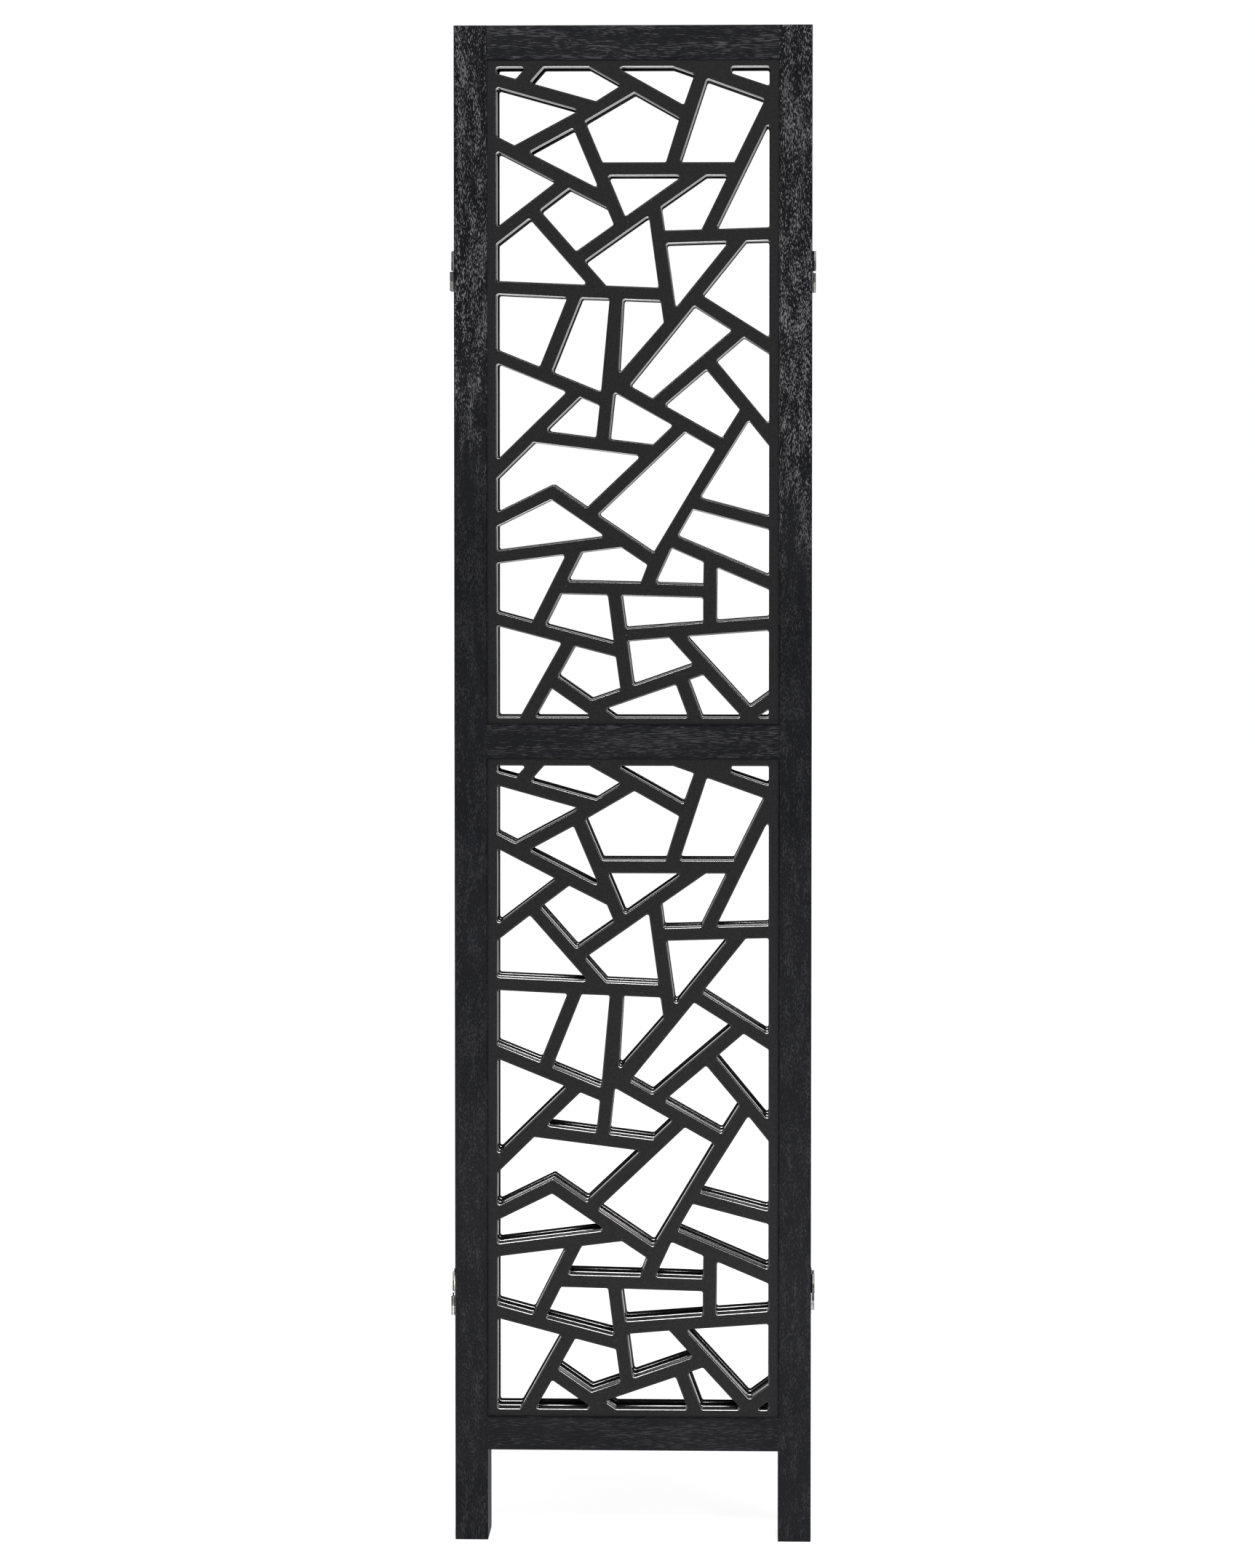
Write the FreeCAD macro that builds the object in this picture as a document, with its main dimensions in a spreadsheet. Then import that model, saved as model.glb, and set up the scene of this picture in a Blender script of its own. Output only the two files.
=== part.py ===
import FreeCAD, Part

import os

import Sketcher
from FreeCAD import Rotation, Vector

# A three-panel folding screen, standing folded flat. Every panel is a frame of two stiles and three
# rails round two fretwork boards, and two-way hinges join the panels' edges: front to middle on the
# left, middle to rear on the right. All lengths are in millimetres. +X is to the right, +Y to the
# rear, +Z up, and the origin is on the floor, under the middle of the middle panel.

SIZES = {
    # A panel, outside, and the gap between two panels when they are folded
    "panel_width": 400,
    "panel_height": 1700,
    "panel_depth": 20,
    "fold_gap": 1.5,
    # Its frame, with the small bevels on its outer edges and round the boards
    "stile_width": 37,
    "rail_height": 38,
    "leg_height": 102,
    "outer_ease": 0.8,
    "sight_ease": 1.6,
    # The groove for boards and tenons, and how far it stops short of the rails' outer edges
    "groove_depth": 8,
    "groove_shoulder": 6,
    "groove_gap": 0.3,
    # A fretwork board, with the solid border that shows round its lattice
    "board_thickness": 12,
    "bar_width": 15.2,
    "side_border": 11,
    "end_border": 8.5,
    # The hinges' middles, from the floor and from the top
    "hinge_foot": 277,
    "hinge_head": 273,
    # A hinge: two leaves, a high and a low link, and two pins
    "hinge_height": 45,
    "half_gap": 2,
    "leaf_thickness": 1.2,
    "link_thickness": 1,
    "barrel_diameter": 4.1,
    "barrel_gap": 0.2,
    "notch_gap": 0.4,
    "knuckle_gap": 0.3,
    "pin_diameter": 1.8,
    "pin_fit": 0.05,
    # How far a cutting shape runs past what it cuts
    "overrun": 1,
}

# Sizes that follow from those above, or from the lines before them
DERIVED = {
    "pitch": "panel_depth + fold_gap",
    "sight_width": "panel_width - 2 * stile_width",
    "sight_height": "(panel_height - leg_height - 3 * rail_height) / 2",
    "board_rise": "sight_height + rail_height",
    "groove_length": "panel_height - leg_height - 2 * groove_shoulder",
    "groove_lap": "groove_depth - groove_gap",
    "axis_out": "barrel_diameter / 2 + barrel_gap",
    "bore_diameter": "pin_diameter + 2 * pin_fit",
    "half_height": "(hinge_height - half_gap) / 2",
    "knuckle_height": "(half_height - knuckle_gap) / 2",
    "plate_start": "barrel_diameter / 2 + notch_gap",
    "plate_width": "pitch - 2 * plate_start",
    "pin_length": "half_height - knuckle_height",
}

PANELS = {"front": "-pitch", "middle": "0", "rear": "pitch"}
HINGE_LEVELS = {"lower": "hinge_foot", "upper": "panel_height - hinge_head"}
EDGE_SIGNS = {"left": "-1", "right": "1"}

# The joints of the lattice, where its bars' middle lines meet, numbered row by row from the top. Each
# is (across from the left, up from the bottom), as shares of the field inside the board's border. One
# joint lies past the field, where two bars would meet under the border.
LATTICE_JOINT_SHARES = {
    1: (0.000, 1.000),
    2: (0.139, 1.000),
    3: (0.390, 1.000),
    4: (0.723, 1.000),
    5: (0.837, 1.000),
    6: (1.000, 1.000),
    7: (0.757, 0.995),
    8: (0.837, 0.983),
    9: (0.000, 0.980),
    10: (0.505, 0.973),
    11: (0.078, 0.971),
    12: (1.000, 0.960),
    13: (1.018, 0.956),
    14: (1.000, 0.941),
    15: (0.368, 0.937),
    16: (0.700, 0.927),
    17: (0.293, 0.921),
    18: (0.000, 0.883),
    19: (0.065, 0.869),
    20: (0.887, 0.844),
    21: (0.639, 0.844),
    22: (0.761, 0.844),
    23: (0.371, 0.844),
    24: (0.262, 0.826),
    25: (0.423, 0.792),
    26: (0.577, 0.790),
    27: (0.123, 0.782),
    28: (0.460, 0.755),
    29: (1.000, 0.744),
    30: (0.904, 0.743),
    31: (0.000, 0.742),
    32: (0.767, 0.741),
    33: (0.594, 0.739),
    34: (0.287, 0.704),
    35: (0.000, 0.662),
    36: (0.294, 0.656),
    37: (0.390, 0.655),
    38: (0.441, 0.654),
    39: (0.623, 0.651),
    40: (0.720, 0.647),
    41: (0.639, 0.605),
    42: (0.906, 0.598),
    43: (1.000, 0.573),
    44: (0.000, 0.556),
    45: (0.773, 0.550),
    46: (0.171, 0.527),
    47: (0.411, 0.517),
    48: (0.452, 0.508),
    49: (0.300, 0.505),
    50: (0.419, 0.499),
    51: (0.404, 0.487),
    52: (0.574, 0.479),
    53: (0.923, 0.475),
    54: (0.688, 0.452),
    55: (1.000, 0.435),
    56: (0.126, 0.434),
    57: (0.386, 0.420),
    58: (0.836, 0.417),
    59: (0.583, 0.410),
    60: (0.000, 0.382),
    61: (0.203, 0.347),
    62: (0.709, 0.332),
    63: (0.332, 0.310),
    64: (0.000, 0.305),
    65: (1.000, 0.300),
    66: (0.630, 0.274),
    67: (0.465, 0.272),
    68: (0.295, 0.263),
    69: (0.000, 0.247),
    70: (0.785, 0.246),
    71: (0.583, 0.239),
    72: (1.000, 0.208),
    73: (0.219, 0.200),
    74: (0.429, 0.198),
    75: (0.545, 0.197),
    76: (0.783, 0.194),
    77: (0.000, 0.151),
    78: (1.000, 0.144),
    79: (0.783, 0.137),
    80: (0.142, 0.135),
    81: (0.644, 0.133),
    82: (0.452, 0.126),
    83: (0.274, 0.121),
    84: (0.459, 0.101),
    85: (0.766, 0.077),
    86: (0.673, 0.063),
    87: (0.192, 0.059),
    88: (0.481, 0.035),
    89: (1.000, 0.025),
    90: (0.343, 0.015),
    91: (0.928, 0.003),
    92: (0.000, 0.000),
    93: (0.112, 0.000),
    94: (0.394, 0.000),
    95: (0.729, 0.000),
    96: (0.918, 0.000),
    97: (0.935, 0.000),
    98: (1.000, 0.000),
}

# Each opening of the lattice, as the numbers of the joints round it, clockwise
LATTICE_OPENINGS = [
    "1 2 11 9",
    "2 3 10 15 11",
    "3 4 7 16 10",
    "5 6 12 8",
    "9 15 19 18",
    "17 25 19",
    "17 10 16 21 23",
    "7 13 20 21",
    "18 24 31",
    "27 24 25 28 34",
    "23 22 28",
    "26 22 20 32 33",
    "14 29 32",
    "31 27 37 35",
    "34 26 39 37",
    "33 30 41",
    "30 29 43 40",
    "35 36 46 44",
    "36 38 51 46",
    "38 39 41 50",
    "40 42 52 48",
    "42 43 55 45",
    "45 53 58 52",
    "44 49 60",
    "49 51 57 56",
    "47 54 59 57",
    "53 55 65 62",
    "56 59 63 61 64 60",
    "54 58 71 63",
    "64 61 67 69",
    "62 65 72 66",
    "69 68 80 77",
    "68 67 71 75 73",
    "66 70 76 75",
    "70 72 78 79",
    "73 74 84 80",
    "74 76 79 82",
    "77 83 93 92",
    "83 84 88 90 87",
    "82 81 85 88",
    "81 78 89 91",
    "87 94 93",
    "90 86 95 94",
    "86 85 97 95",
    "89 98 96",
]

doc = FreeCAD.newDocument("folding_screen")
sheet = doc.addObject("Spreadsheet::Sheet", "sizes")
for row, (name, cell) in enumerate({**SIZES, **DERIVED}.items(), 1):
    sheet.set(f"A{row}", name)
    sheet.set(f"B{row}", f"={cell}" if name in DERIVED else str(cell))
    sheet.setAlias(f"B{row}", name)
doc.recompute()


# Names, formulas and places


def size(name):
    """A named size as a plain number."""
    return float(sheet.get(name))


def formula(words):
    """The same formula with each size looked up in the sheet."""
    spaced = words.replace("(", "( ").replace(")", " )").replace("-", "- ")
    return " ".join(f"sizes.{w}" if w in SIZES or w in DERIVED else w for w in spaced.split())


def bind(item, **formulas):
    """Ties properties of an item to formulas of named sizes."""
    for name, words in formulas.items():
        item.setExpression(name, formula(words))


def put(item, x="0", y="0", z="0", turn=Rotation()):
    """Turns an item and moves it to a place given by formulas."""
    item.Placement = FreeCAD.Placement(Vector(), turn)
    for axis, words in {"x": x, "y": y, "z": z}.items():
        item.setExpression(f"Placement.Base.{axis}", formula(words))
    return item


TURNED = Rotation(Vector(0, 0, 1), 180)
FLIPPED = Rotation(Vector(1, 0, 0), 180)


# Sketches and the features made from them


def new_sketch(body, role, name, offset="0"):
    """A sketch on one of a body's own planes, moved along the plane's normal by a formula."""
    sketch = body.newObject("Sketcher::SketchObject", name)
    plane = next(f for f in body.Origin.OriginFeatures if f.Role == role)
    sketch.AttachmentSupport = [(plane, "")]
    sketch.MapMode = "FlatFace"
    sketch.setExpression("AttachmentOffset.Base.z", formula(offset))
    return sketch


def draw_loop(sketch, points):
    """A closed loop of straight lines through points given as vectors, and its first line."""
    first = sketch.GeometryCount
    lines = [Part.LineSegment(a, b) for a, b in zip(points, points[1:] + points[:1])]
    sketch.addGeometry(lines, False)
    return first


def draw_outline(sketch, corners):
    """A closed outline whose corners are held to formulas of named sizes."""
    count = len(corners)
    ring = [Vector(1, 0, 0)]
    for _ in corners[1:]:
        ring.append(Rotation(Vector(0, 0, 1), 360 / count).multVec(ring[-1]))
    first = draw_loop(sketch, ring)
    for i, (across, up) in enumerate(corners):
        line, after = first + i, first + (i + 1) % count
        sketch.addConstraint(Sketcher.Constraint("Coincident", line, 2, after, 1))
        hold(sketch, "DistanceX", line, 1, across)
        hold(sketch, "DistanceY", line, 1, up)


def hold(sketch, kind, geometry, point, words):
    """Holds one coordinate of a point, measured from the sketch's origin."""
    held = sketch.addConstraint(Sketcher.Constraint(kind, -1, 1, geometry, point, 1.0))
    sketch.setExpression(f"Constraints[{held}]", formula(words))


def extrude(body, kind, sketch, **settings):
    """A pad or pocket of a sketch, with formulas for lengths and plain settings for the rest."""
    feature = body.newObject(f"PartDesign::{kind}", f"{sketch.Name}_{kind.lower()}")
    feature.Profile = sketch
    for name, value in settings.items():
        if name == "Length":
            bind(feature, Length=value)
        else:
            setattr(feature, name, value)
    sketch.Visibility = False
    return feature


# The frame of a panel


def make_stile(name):
    """A stile, from its outer edge at x = 0 inwards, with the foot of its leg at z = 0."""
    body = doc.addObject("PartDesign::Body", name)
    section = new_sketch(body, "XY_Plane", "stile_section")
    draw_outline(
        section,
        [
            ("outer_ease", "-panel_depth / 2"),
            ("stile_width", "-panel_depth / 2"),
            ("stile_width", "panel_depth / 2"),
            ("outer_ease", "panel_depth / 2"),
            ("0", "panel_depth / 2 - outer_ease"),
            ("0", "-panel_depth / 2 + outer_ease"),
        ],
    )
    extrude(body, "Pad", section, Length="panel_height")

    groove = new_sketch(body, "XY_Plane", "stile_groove", "leg_height + groove_shoulder")
    draw_outline(
        groove,
        [
            ("stile_width - groove_depth", "-board_thickness / 2"),
            ("stile_width + overrun", "-board_thickness / 2"),
            ("stile_width + overrun", "board_thickness / 2"),
            ("stile_width - groove_depth", "board_thickness / 2"),
        ],
    )
    extrude(body, "Pocket", groove, Length="groove_length", Reversed=True)

    # The bevels beside each board stop at the rails
    for rises in ("0", "board_rise"):
        bevels = new_sketch(body, "XY_Plane", "stile_bevels", f"leg_height + rail_height + {rises}")
        for sign in ("-1", "1"):
            face = f"{sign} * (panel_depth / 2"
            draw_outline(
                bevels,
                [
                    ("stile_width - sight_ease - overrun", f"{face} + overrun)"),
                    ("stile_width + overrun", f"{face} - sight_ease - overrun)"),
                    ("stile_width + overrun", f"{face} + overrun)"),
                ],
            )
        extrude(body, "Pocket", bevels, Length="sight_height", Reversed=True)
    return body


def make_rail(name, grooved_below, grooved_above):
    """A rail across x = 0, standing on z = 0, with a tenon on each end and grooves where boards meet it."""
    body = doc.addObject("PartDesign::Body", name)
    below = "sight_ease" if grooved_below else "outer_ease"
    above = "sight_ease" if grooved_above else "outer_ease"
    section = new_sketch(body, "YZ_Plane", "rail_section")
    draw_outline(
        section,
        [
            (f"-panel_depth / 2 + {below}", "0"),
            (f"panel_depth / 2 - {below}", "0"),
            ("panel_depth / 2", below),
            ("panel_depth / 2", f"rail_height - {above}"),
            (f"panel_depth / 2 - {above}", "rail_height"),
            (f"-panel_depth / 2 + {above}", "rail_height"),
            ("-panel_depth / 2", f"rail_height - {above}"),
            ("-panel_depth / 2", below),
        ],
    )
    extrude(body, "Pad", section, Length="sight_width", SideType="Symmetric")

    tenon_foot = "groove_depth" if grooved_below else "groove_shoulder"
    tenon_head = "rail_height - groove_depth" if grooved_above else "rail_height - groove_shoulder"
    tenons = new_sketch(body, "YZ_Plane", "rail_tenons")
    draw_bar(tenons, tenon_foot, tenon_head)
    extrude(body, "Pad", tenons, Length="sight_width + 2 * groove_lap", SideType="Symmetric")

    grooves = new_sketch(body, "YZ_Plane", "rail_grooves")
    if grooved_below:
        draw_bar(grooves, "-overrun", "groove_depth")
    if grooved_above:
        draw_bar(grooves, "rail_height - groove_depth", "rail_height + overrun")
    extrude(body, "Pocket", grooves, Type="ThroughAll", SideType="Symmetric")
    return body


def draw_bar(sketch, foot, head):
    """A rectangle as wide as a board is thick, between two levels, in the middle of a rail."""
    half = "board_thickness / 2"
    draw_outline(sketch, [(f"-{half}", foot), (half, foot), (half, head), (f"-{half}", head)])


# The fretwork boards


def lattice_side(start, end):
    """One side of an opening: a point on it and its direction, moved inwards by half a bar.

    The openings run clockwise, so inwards is to the right. A side along the border stays where it is.
    """
    field_width = size("sight_width") - 2 * size("side_border")
    field_height = size("sight_height") - 2 * size("end_border")
    shares = [LATTICE_JOINT_SHARES[joint] for joint in (start, end)]
    places = [
        Vector((across - 0.5) * field_width, size("end_border") + up * field_height, 0)
        for across, up in shares
    ]
    along = (places[1] - places[0]).normalize()
    on_border = any(shares[0][k] == shares[1][k] and shares[0][k] in (0, 1) for k in (0, 1))
    inset = 0 if on_border else size("bar_width") / 2
    return places[0] + Vector(along.y, -along.x, 0) * inset, along


def meeting_point(one, other):
    """Where the lines of two sides cross."""
    (start, along), (base, across) = one, other
    normal = Vector(-across.y, across.x, 0)
    return start + along * ((base - start).dot(normal) / along.dot(normal))


def opening_corners(joints):
    """The corners of an opening. A side that its neighbours have closed off is left out."""
    sides = [lattice_side(a, b) for a, b in zip(joints, joints[1:] + joints[:1])]
    while len(sides) > 2:
        corners = [meeting_point(sides[i - 1], sides[i]) for i in range(len(sides))]
        runs = [after - corner for corner, after in zip(corners, corners[1:] + corners[:1])]
        closed = [i for i, run in enumerate(runs) if run.dot(sides[i][1]) <= 0]
        if not closed:
            return corners
        del sides[min(closed, key=lambda i: runs[i].dot(sides[i][1]))]
    return []


def make_board(name):
    """A fretwork board, with its visible part standing on z = 0 and its edges lapping into the grooves."""
    body = doc.addObject("PartDesign::Body", name)
    half = "(sight_width / 2 + groove_lap)"
    foot, head = "-groove_lap", "sight_height + groove_lap"
    lattice = new_sketch(body, "XZ_Plane", "board_lattice")
    draw_outline(lattice, [(f"-{half}", foot), (half, foot), (half, head), (f"-{half}", head)])
    for numbers in LATTICE_OPENINGS:
        corners = opening_corners([int(number) for number in numbers.split()])
        if corners:
            draw_loop(lattice, corners)
    extrude(body, "Pad", lattice, Length="board_thickness", SideType="Symmetric")
    return body


# The hinges, drawn for the left edge: x = 0 is the panels' edge with -x outwards, y = 0 is the middle
# of the gap between the panels with the middle panel at +y, and z = 0 is the hinge's middle. The high
# link stays with the middle panel while the outer panel unfolds, and the low link, the same piece
# turned over, with the outer panel. So a panel turns on one pin of each link, at y = 0, and the
# knuckles at the panels' far faces, about which the fold could go the other way, stay still.


def new_block(x, y, z, along_x, along_y, along_z):
    """A rectangular block with its lowest corner at a place."""
    block = put(doc.addObject("Part::Box", "block"), x, y, z)
    bind(block, Length=along_x, Width=along_y, Height=along_z)
    return block


def new_rod(x, y, z, diameter, length):
    """An upright round rod that starts at a place."""
    rod = put(doc.addObject("Part::Cylinder", "rod"), x, y, z)
    bind(rod, Radius=f"{diameter} / 2", Height=length)
    return rod


def join(name, items):
    """One named piece from several that touch."""
    whole = doc.addObject("Part::MultiFuse", name)
    whole.Shapes = items
    return whole


def make_leaf(name):
    """The middle panel's leaf: a plate with its low knuckle at the gap and its high one at the far face."""
    foot = "-hinge_height / 2"
    high_foot = "hinge_height / 2 - knuckle_height"
    plate = ("leaf_thickness", "plate_width", "hinge_height")
    tab = ("leaf_thickness", "plate_start - fold_gap / 2", "knuckle_height")
    solid = [
        new_block("-leaf_thickness", "plate_start", foot, *plate),
        new_block("-leaf_thickness", "fold_gap / 2", foot, *tab),
        new_block("-leaf_thickness", "pitch - plate_start", high_foot, *tab),
        new_rod("-axis_out", "0", foot, "barrel_diameter", "knuckle_height"),
        new_rod("-axis_out", "pitch", high_foot, "barrel_diameter", "knuckle_height"),
    ]
    leaf = doc.addObject("Part::Cut", name)
    leaf.Base = join("leaf_blank", solid)
    leaf.Tool = new_rod("-axis_out", "0", f"{foot} - overrun", "bore_diameter", "knuckle_height + 2 * overrun")
    return leaf


def make_link(name):
    """The high link: a plate between two knuckles, just above the hinge's middle."""
    foot = "half_gap / 2"
    face = "-axis_out - link_thickness / 2"
    solid = [
        new_block(face, "plate_start", foot, "link_thickness", "plate_width", "half_height"),
        new_block(face, "0", foot, "link_thickness", "pitch", "knuckle_height"),
        new_rod("-axis_out", "0", foot, "barrel_diameter", "knuckle_height"),
        new_rod("-axis_out", "pitch", foot, "barrel_diameter", "knuckle_height"),
    ]
    return join(name, solid)


def make_pin(side, level, panel):
    """The pin that stays with a panel's link and turns in the other panel's leaf, in the screen's frame."""
    sign = EDGE_SIGNS[side]
    link_end = "+ half_gap / 2 + knuckle_height"
    foot = f"{level} {link_end}" if panel == "middle" else f"{level} - hinge_height / 2"
    x = f"{sign} * (panel_width / 2 + axis_out)"
    return new_rod(x, f"{sign} * pitch / 2", foot, "pin_diameter", "pin_length")


def group(name, solids):
    """Separate solids of one kind as one named group."""
    compound = doc.addObject("Part::Compound", name)
    compound.Links = solids
    return compound


# The whole screen

pieces = []

for panel, y in PANELS.items():
    for side, turn in (("left", Rotation()), ("right", TURNED)):
        stile = make_stile(f"{panel}_{side}_stile")
        pieces.append(put(stile, f"{EDGE_SIGNS[side]} * panel_width / 2", y, turn=turn))
    for index, level in enumerate(("bottom", "middle", "top")):
        rail = make_rail(f"{panel}_{level}_rail", index > 0, index < 2)
        pieces.append(put(rail, "0", y, f"leg_height + {index} * board_rise"))
    for index, level in enumerate(("lower", "upper")):
        board = make_board(f"{panel}_{level}_board")
        pieces.append(put(board, "0", y, f"leg_height + rail_height + {index} * board_rise"))

pins = {panel: [] for panel in PANELS}
for side, outer, turn in (("left", "front", Rotation()), ("right", "rear", TURNED)):
    sign = EDGE_SIGNS[side]
    for height, level in HINGE_LEVELS.items():
        hinge = f"{side}_{height}_hinge"
        where = (f"{sign} * panel_width / 2", f"{sign} * pitch / 2", level)
        pieces.append(put(make_leaf(f"{hinge}_middle_leaf"), *where, turn))
        pieces.append(put(make_leaf(f"{hinge}_{outer}_leaf"), *where, turn * FLIPPED))
        pieces.append(put(make_link(f"{hinge}_high_link"), *where, turn))
        pieces.append(put(make_link(f"{hinge}_low_link"), *where, turn * FLIPPED))
        for panel in ("middle", outer):
            pins[panel].append(make_pin(side, level, panel))
for panel in PANELS:
    pieces.append(group(f"{panel}_hinge_pins", pins[panel]))

doc.recompute()

for item in doc.Objects:
    if "Invalid" in item.State or "Error" in item.State:
        raise RuntimeError(f"{item.Name} did not recompute: {item.State}")
for piece in pieces:
    if piece.Shape.isNull() or not piece.Shape.isValid() or not piece.Shape.Solids:
        raise RuntimeError(f"{piece.Label} has no valid solid")

os.makedirs("parts", exist_ok=True)
for piece in pieces:
    piece.Shape.exportStep(f"parts/{piece.Label}.step")
    print(piece.Label, len(piece.Shape.Solids), "solids", round(piece.Shape.Volume), "mm3")
print(len(pieces), "pieces")
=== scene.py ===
# %% [markdown]
# # A folding screen in black lacquer
#
# The screen is three hinged panels, folded flat. Each panel is a wooden frame of two stiles and
# three rails round two fretwork boards, lacquered near black. The construction comes ready made, so
# this lesson dresses it: the boards get their rounded corners and eased arrises, the wood its open
# grain, the hinges their plating and screws. First it loads the construction and keeps its box.

import math

import bmesh
import bpy
import numpy as np
from mathutils import Matrix, Vector


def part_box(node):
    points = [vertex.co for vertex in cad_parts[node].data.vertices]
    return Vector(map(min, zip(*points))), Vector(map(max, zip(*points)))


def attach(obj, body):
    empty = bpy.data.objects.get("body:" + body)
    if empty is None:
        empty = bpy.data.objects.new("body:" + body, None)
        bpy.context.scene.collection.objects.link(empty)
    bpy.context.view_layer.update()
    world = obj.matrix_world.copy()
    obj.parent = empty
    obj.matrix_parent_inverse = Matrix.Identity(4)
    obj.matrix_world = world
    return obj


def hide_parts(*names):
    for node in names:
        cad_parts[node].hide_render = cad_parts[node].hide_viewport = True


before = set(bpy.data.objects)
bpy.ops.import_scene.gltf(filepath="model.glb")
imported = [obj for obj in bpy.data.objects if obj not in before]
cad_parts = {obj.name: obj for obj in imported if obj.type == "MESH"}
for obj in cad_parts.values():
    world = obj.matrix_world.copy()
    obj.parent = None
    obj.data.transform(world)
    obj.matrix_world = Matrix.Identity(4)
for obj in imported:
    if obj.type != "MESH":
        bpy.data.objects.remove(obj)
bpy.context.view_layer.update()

PANELS = ("front", "middle", "rear")
MM = 0.001

print("nodes:", len(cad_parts))

# %% [markdown]
# ## Effects that several finishes share
#
# A finish is a stack of small effects, and most of them turn up in more than one material. Each is a
# node group with its own inputs, built once. A group hands out only masks, heights and colours, and
# the shader itself stays in the material. A few helpers keep the wiring short.

# %% Helpers for node groups and materials
FLOAT, VECTOR = "NodeSocketFloat", "NodeSocketVector"


def new_group(name, inputs, outputs):
    """A shader node group with its input and output nodes. An input is a name, a kind and a value."""
    group = bpy.data.node_groups.new(name, "ShaderNodeTree")
    for label, kind, value in inputs:
        socket = group.interface.new_socket(label, in_out="INPUT", socket_type=kind)
        if value is not None:
            socket.default_value = value
    for label, kind in outputs:
        group.interface.new_socket(label, in_out="OUTPUT", socket_type=kind)
    return group, group.nodes.new("NodeGroupInput"), group.nodes.new("NodeGroupOutput")


def add(tree, kind, values=None, **settings):
    """A node with some settings, and its inputs set or linked by name or number."""
    node = tree.nodes.new(kind)
    for name, value in settings.items():
        setattr(node, name, value)
    for name, value in (values or {}).items():
        if isinstance(value, bpy.types.NodeSocket):
            tree.links.new(value, node.inputs[name])
        else:
            node.inputs[name].default_value = value
    return node


def remap(tree, value, low, high, to_low=0.0, to_high=1.0):
    """A value moved from one range to another, and kept inside it."""
    values = {"Value": value, "From Min": low, "From Max": high, "To Min": to_low, "To Max": to_high}
    return add(tree, "ShaderNodeMapRange", values).outputs["Result"]


def calculate(tree, operation, one, other):
    """One sum of two values."""
    return add(tree, "ShaderNodeMath", {0: one, 1: other}, operation=operation).outputs[0]


def calculate_vector(tree, operation, values):
    """One sum of vectors, with its inputs by number or name."""
    return add(tree, "ShaderNodeVectorMath", values, operation=operation).outputs[0]


def product(tree, *values):
    """Several values multiplied together."""
    result = values[0]
    for value in values[1:]:
        result = calculate(tree, "MULTIPLY", result, value)
    return result


def blend_colors(tree, share, one, other):
    """A colour between two others."""
    node = add(tree, "ShaderNodeMix", {0: share, 6: one, 7: other}, data_type="RGBA")
    return node.outputs[2]


def noise(tree, place, scale, detail=2.0, roughness=0.5):
    """The outputs of a noise texture."""
    values = {"Vector": place, "Scale": scale, "Detail": detail, "Roughness": roughness}
    return add(tree, "ShaderNodeTexNoise", values).outputs


# %% [markdown]
# ### Open grain
#
# The frame's wood has open pores that the thin lacquer doesn't fill: short dashes along the fibre,
# crowded in some years' growth and sparse in others. A Wave texture draws lines as well, but they run
# on without end, so the pores are noise that is stretched along the fibre. A second, wider noise says
# where they crowd, and a slow warp lets the fibre wander. The material chooses the direction, because
# a rail's fibre runs across and a stile's runs up.

# %% The grain group
WANDERS = ((14.0, 14 * MM), (45.0, 8 * MM))
BAND_RANGE = (0.35, 0.65)
CROWDING = 0.07
PORE_RANGE = (0.56, 0.63)
RELIEF_RANGE = (0.3, 0.75)

grain, grain_in, grain_out = new_group(
    "open_grain",
    [("Fibre", VECTOR, None), ("Pore Width", FLOAT, 1.3 * MM), ("Band Width", FLOAT, 9 * MM)],
    [("Relief", FLOAT), ("Pores", FLOAT), ("Bands", FLOAT)],
)
straight = grain_in.outputs["Fibre"]
fibre = straight
for scale, reach in WANDERS:
    warp = noise(grain, straight, scale)["Color"]
    centred = calculate_vector(grain, "SUBTRACT", {0: warp, 1: (0.5, 0.5, 0.5)})
    wander = calculate_vector(grain, "SCALE", {0: centred, "Scale": reach})
    fibre = calculate_vector(grain, "ADD", {0: fibre, 1: wander})
pore_scale = calculate(grain, "DIVIDE", 1.0, grain_in.outputs["Pore Width"])
band_scale = calculate(grain, "DIVIDE", 1.0, grain_in.outputs["Band Width"])
pores = noise(grain, fibre, pore_scale, detail=1.0, roughness=0.6)[0]
bands = noise(grain, fibre, band_scale)[0]
crowded = calculate(grain, "ADD", pores, remap(grain, bands, *BAND_RANGE, -CROWDING, CROWDING))
for label, value in (
    ("Relief", remap(grain, crowded, *RELIEF_RANGE, 1.0, 0.0)),
    ("Pores", remap(grain, crowded, *PORE_RANGE)),
    ("Bands", remap(grain, bands, *BAND_RANGE)),
):
    grain.links.new(value, grain_out.inputs[label])
print("group:", grain.name)

# %% [markdown]
# ### Lacquer texture and specks
#
# Sprayed lacquer is never quite flat. It has a faint orange peel, and a few grains of dust are caught
# in it. Dust could be small meshes strewn over the piece, but it is too small to show a form. So the
# peel is a small smooth noise, and the specks are the middles of a Voronoi texture's cells.

# %% The lacquer group
SPECK_RANGE = (0.03, 0.015)
HAZE_SCALE, HAZE_RANGE = 9.0, (0.35, 0.65)
GRIT_SCALE, GRIT_RANGE = 700.0, (0.3, 0.7)

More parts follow.
